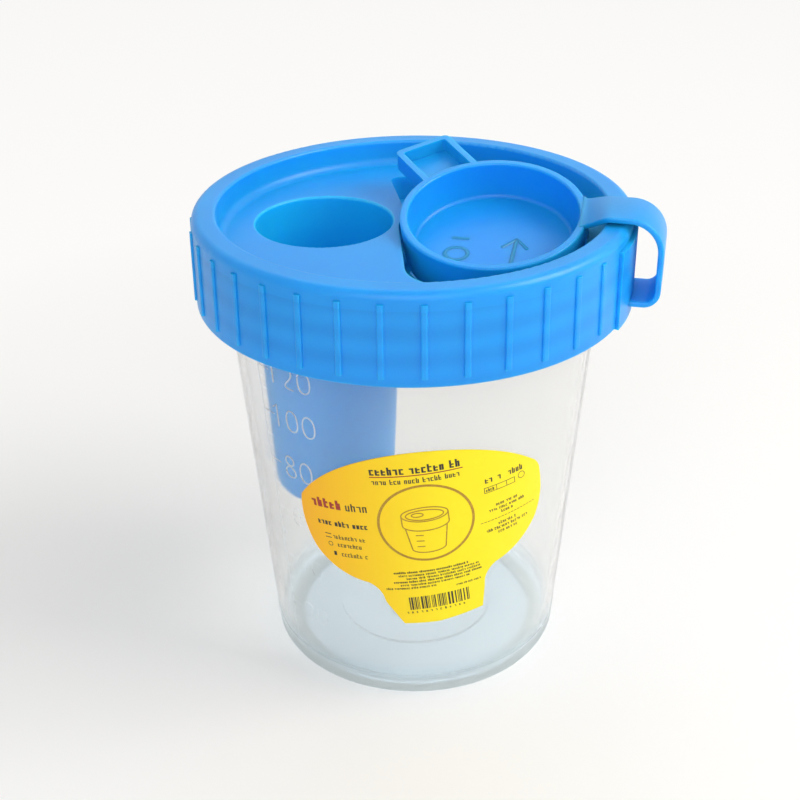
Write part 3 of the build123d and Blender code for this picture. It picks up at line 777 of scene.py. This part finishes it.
def tether_path():
    """Middle of the strap as (x, z): out of the skirt, up, over the rim and down to the tilted cap."""
    root_x, root_z, root_length, leg_x = 33.4, 66.0, 1.8, 38.69
    low, high, below_rim = 2.1, 5.0, 0.35   # radii of the two bends, and the tip's depth under the cap's rim
    top_x, leg_foot, leg_top = leg_x - high, root_z + low, HINGE_Z - high
    tip_z = CAP_Z + STRAP_TIP_Y * math.tan(CAP_TILT) - below_rim
    path = [(root_x, root_z), (root_x + root_length, root_z)]
    path += bend(leg_x - low, leg_foot, low, -90, 9, 11)
    path += [(leg_x, leg_foot + (leg_top - leg_foot) * k / 6) for k in range(1, 6)]
    path += bend(top_x, leg_top, high, 0, 6, 16)
    path += [(top_x + (STRAP_LEVEL_END - top_x) * k / 4, HINGE_Z) for k in range(1, 5)]
    steps = 16
    for t in (k / steps for k in range(1, steps + 1)):
        x = STRAP_LEVEL_END + (STRAP_TIP_X - STRAP_LEVEL_END) * t
        path.append((x, HINGE_Z + (tip_z - HINGE_Z) * ease(t)))
    return path


def strap_section(half_width):
    """Rounded rectangle, as (across, through) points."""
    section = []
    for across, through, start in ((1, 1, 0), (-1, 1, 90), (-1, -1, 180), (1, -1, 270)):
        for a in (math.radians(start + 30 * step) for step in range(4)):
            section.append((
                across * (half_width - STRAP_EDGE) + STRAP_EDGE * math.cos(a),
                through * (STRAP_THICK / 2 - STRAP_EDGE) + STRAP_EDGE * math.sin(a),
            ))
    return section


def tether():
    """One strap that narrows and twists toward the cap, and flares where it joins it."""
    narrowing, flare, flare_start = 1.2, 0.7, 0.75
    level = Vector((0, 1, 0))
    path = tether_path()
    rings = []
    for k, (x, z) in enumerate(path):
        before, after = neighbours(path, k)
        ahead = Vector((after[0] - before[0], 0, after[1] - before[1])).normalized()
        out = Vector((-ahead.z, 0, ahead.x))
        t = min(1.0, max(0.0, STRAP_LEVEL_END - x) / (STRAP_LEVEL_END - STRAP_TIP_X))
        twist = CAP_TILT * ease(t)
        side = level * math.cos(twist) - out * math.sin(twist)
        face = out * math.cos(twist) + level * math.sin(twist)
        flared = max(0.0, (t - flare_start) / (1 - flare_start)) ** 2
        half_width = STRAP_WIDE / 2 - narrowing * ease(t) + flare * flared
        here = Vector((x, STRAP_TIP_Y * ease(t), z))
        rings.append([tuple(here + side * a + face * b) for a, b in strap_section(half_width)])
    strap = Builder()
    strap.rings(rings, caps=True)
    made = strap.piece("tether", LID, None, "lid_plastic", 50.0)
    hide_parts("tether_leg", "tether_arm")
    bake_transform(made)


tether()


# ---------------------------------------------------------------- short neck under the port's ledge

def port_neck():
    """Tube below the ledge the closed cap sits on."""
    bore, wall, top, foot, rounding = 12.95, 1.0, 65.85, 61.5, 0.3
    turn_step = 2.5
    outer = bore + wall
    profile = ((outer, top), (outer, foot), (bore + wall / 2, foot - rounding), (bore, foot), (bore, top))
    rings = []
    for k in range(round(360 / turn_step) + 1):
        a = math.radians(turn_step * k)
        rings.append([(CAP_X + r * math.cos(a), r * math.sin(a), z) for r, z in profile])
    neck = Builder()
    neck.rings(rings)
    neck.piece("port_neck", LID, "lid", "lid_plastic")


port_neck()


# ---------------------------------------------------------------- raised marks on the cap's floor

def on_cap(x, y, height):
    """Point of the tilted cap, from its middle, height above the dish's floor."""
    z = height - CAP_DEPTH
    ct, st = math.cos(CAP_TILT), math.sin(CAP_TILT)
    return (CAP_X + x, y * ct - z * st, CAP_Z + (y * st + z * ct))


def ridge(builder, points, width):
    """Low ridge on the dish's floor; a path that ends where it starts is a loop."""
    proud, sunk = 0.1, 0.1
    profile = ((-1, -sunk), (-0.3, proud), (0.3, proud), (1, -sunk))
    last = len(points) - 1
    loop = points[0] == points[last]
    rings = []
    for k, (x, y) in enumerate(points):
        before, after = (points[-2], points[1]) if loop and k in (0, last) else neighbours(points, k)
        dx, dy = after[0] - before[0], after[1] - before[1]
        length = math.hypot(dx, dy)
        nx, ny = -dy / length * width / 2, dx / length * width / 2
        rings.append([on_cap(x + nx * side, y + ny * side, height) for side, height in profile])
    builder.rings(rings, caps=True)


def cap_marks():
    """A ring, a bar and an arrow, moulded a little proud of the dish's floor."""
    marks = Builder()
    width = 1.0
    angles = [math.radians(10 * k) for k in range(36)]
    circle = [(-5.4 + 1.8 * math.cos(a), -3.4 + 1.6 * math.sin(a)) for a in angles]
    ridge(marks, circle + circle[:1], width)
    ridge(marks, [(-6.8, 0.6), (-4.0, 0.6)], width)
    ridge(marks, [(3.4, -6.0), (3.4, 1.2)], width)
    ridge(marks, [(1.4, -1.0), (3.4, 1.4), (5.4, -1.0)], width)
    marks.piece("cap_marks", LID, "cap", "lid_plastic")


cap_marks()


# ---------------------------------------------------------------- light, floor and camera

def plain_floor():
    """Pale floor: near the cup its own shading shows, and farther out mostly an even white."""
    material, tree, bsdf = new_material("studio_floor")
    base = blend_colour(tree, noise(tree, 3.0), (0.950, 0.930, 0.895, 1), (0.965, 0.950, 0.920, 1))
    tree.links.new(base, bsdf.inputs["Base Color"])
    bsdf.inputs["Roughness"].default_value = 0.7
    pale = put(tree, "ShaderNodeEmission", {"Color": (1.0, 0.99, 0.975, 1), "Strength": 1.0})
    length = put(tree, "ShaderNodeVectorMath", {0: object_place(tree)}, operation="LENGTH")
    paleness = remap(tree, length.outputs["Value"], 0.05, 0.20, 0.13, 0.85)
    mix_shaders(tree, maths(tree, "MULTIPLY", seen_ray(tree), paleness), bsdf, pale)
    reach = 3.0
    corners = [(x * reach, y * reach, 0) for x, y in ((-1, -1), (1, -1), (1, 1), (-1, 1))]
    mesh = bpy.data.meshes.new("studio_floor")
    mesh.from_pydata(corners, [], [[0, 1, 2, 3]])
    mesh.materials.append(material)
    made = bpy.data.objects.new("studio_floor", mesh)
    bpy.context.scene.collection.objects.link(made)


def lamp(name, place, target, size, energy, colour=(1, 1, 1)):
    """Square lamp at place, in metres, that faces target."""
    data = bpy.data.lights.new(name, "AREA")
    data.size, data.energy, data.color = size, energy, colour
    made = bpy.data.objects.new(name, data)
    made.location = place
    made.rotation_euler = (Vector(target) - Vector(place)).to_track_quat("-Z", "Y").to_euler()
    bpy.context.scene.collection.objects.link(made)


WORLD_LIGHT = 0.45          # what the world gives to plain surfaces
WORLD_SEEN = 0.85           # what gloss and clear plastic show of it


def light():
    world = bpy.data.worlds.new("studio")
    world.use_nodes = True
    tree = world.node_tree
    background = tree.nodes["Background"]
    background.inputs["Color"].default_value = (0.95, 0.97, 1.0, 1)
    strength = remap(tree, seen_ray(tree), 0.0, 1.0, WORLD_LIGHT, WORLD_SEEN)
    tree.links.new(strength, background.inputs["Strength"])
    bpy.context.scene.world = world
    middle = (0, 0, 0.045)
    lamp("key", (0.42, 0.02, 0.40), middle, 0.30, 1.9, (1.0, 0.985, 0.96))
    lamp("back", (-0.10, 0.34, 0.62), middle, 0.45, 0.6)
    lamp("front", (0.10, -0.60, 0.35), middle, 0.5, 1.5)


CAMERA_PLACE = Vector((0.04153, -0.18738, 0.15006))
CAMERA_DOWN, CAMERA_SWING, CAMERA_ROLL = math.radians(29.14), math.radians(13.0), -0.0127
CAMERA_LENS, CAMERA_SENSOR = 58.66, 36.0
CAMERA_SHIFT = (-0.0048, -0.0004)


def camera():
    """At the photograph's viewing angle."""
    up = Vector((
        -math.sin(CAMERA_SWING) * math.sin(CAMERA_DOWN),
        math.cos(CAMERA_SWING) * math.sin(CAMERA_DOWN),
        math.cos(CAMERA_DOWN),
    ))
    across = Vector((math.cos(CAMERA_SWING), math.sin(CAMERA_SWING), 0))
    right = across * math.cos(CAMERA_ROLL) + up * math.sin(CAMERA_ROLL)
    upward = up * math.cos(CAMERA_ROLL) - across * math.sin(CAMERA_ROLL)
    turn = Matrix((right, upward, right.cross(upward))).transposed().to_4x4()
    data = bpy.data.cameras.new("camera")
    data.lens, data.sensor_width = CAMERA_LENS, CAMERA_SENSOR
    data.shift_x, data.shift_y = CAMERA_SHIFT
    data.clip_start, data.clip_end = 0.01, 20.0
    made = bpy.data.objects.new("camera", data)
    made.matrix_world = Matrix.Translation(CAMERA_PLACE) @ turn
    bpy.context.scene.collection.objects.link(made)
    bpy.context.scene.camera = made


plain_floor()
light()
camera()
bpy.context.scene.view_settings.view_transform = "Standard"

bpy.context.view_layer.update()
